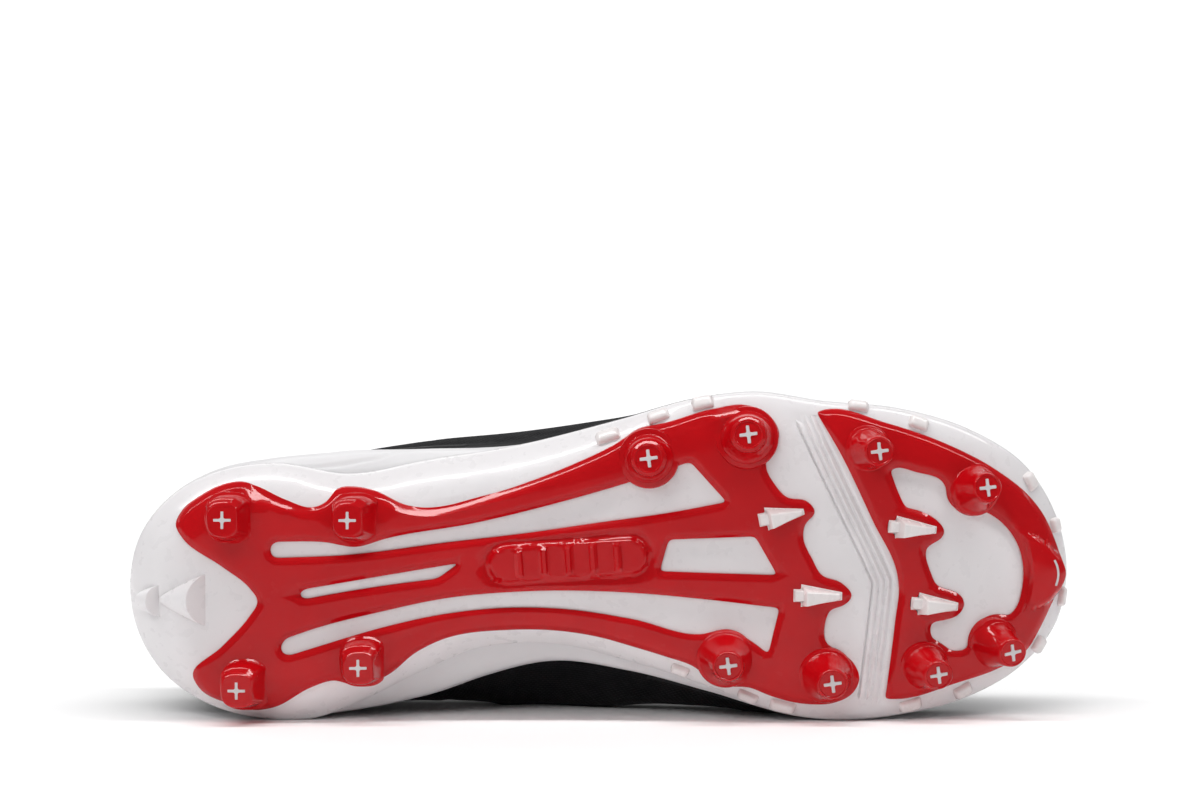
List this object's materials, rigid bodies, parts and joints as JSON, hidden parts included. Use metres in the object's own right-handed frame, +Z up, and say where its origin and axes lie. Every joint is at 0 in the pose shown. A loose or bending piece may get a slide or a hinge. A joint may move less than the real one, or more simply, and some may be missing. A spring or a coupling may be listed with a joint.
{
  "type": "athletic cleat",
  "caption": "Low-cut right athletic cleat lying on its side: white moulded plate, red stud frames, white foam midsole and a black hollow laced upper.",
  "frame": {"origin": "bottom centre of the bounding box of the shoe as it lies on its medial side", "axes": "+X from heel to toe, +Z up with the lateral side on top, the sole faces -Y"},
  "size_m": [0.2996, 0.1314, 0.1048],
  "materials": {
    "white_plate": "semi-gloss moulded white",
    "red_frame": "glossy moulded red",
    "white_inlay": "satin white",
    "white_foam": "smooth foam skin",
    "grey_lining": "knitted lining",
    "black_upper": "matte woven synthetic",
    "black_lace": "woven flat lace"
  },
  "bodies": {
    "root": {"outsole_plate": "white_plate", "frame_rear": "red_frame", "frame_front": "red_frame", "stud_inlay_01": "white_inlay", "stud_inlay_02": "white_inlay", "stud_inlay_03": "white_inlay", "stud_inlay_04": "white_inlay", "stud_inlay_05": "white_inlay", "stud_inlay_06": "white_inlay", "stud_inlay_07": "white_inlay", "stud_inlay_08": "white_inlay", "stud_inlay_09": "white_inlay", "stud_inlay_10": "white_inlay", "stud_inlay_11": "white_inlay", "stud_inlay_12": "white_inlay", "midsole": "white_foam", "insole": "grey_lining", "upper": "black_upper", "tongue": "grey_lining", "laces": "black_lace"}
  },
  "joints": []
}
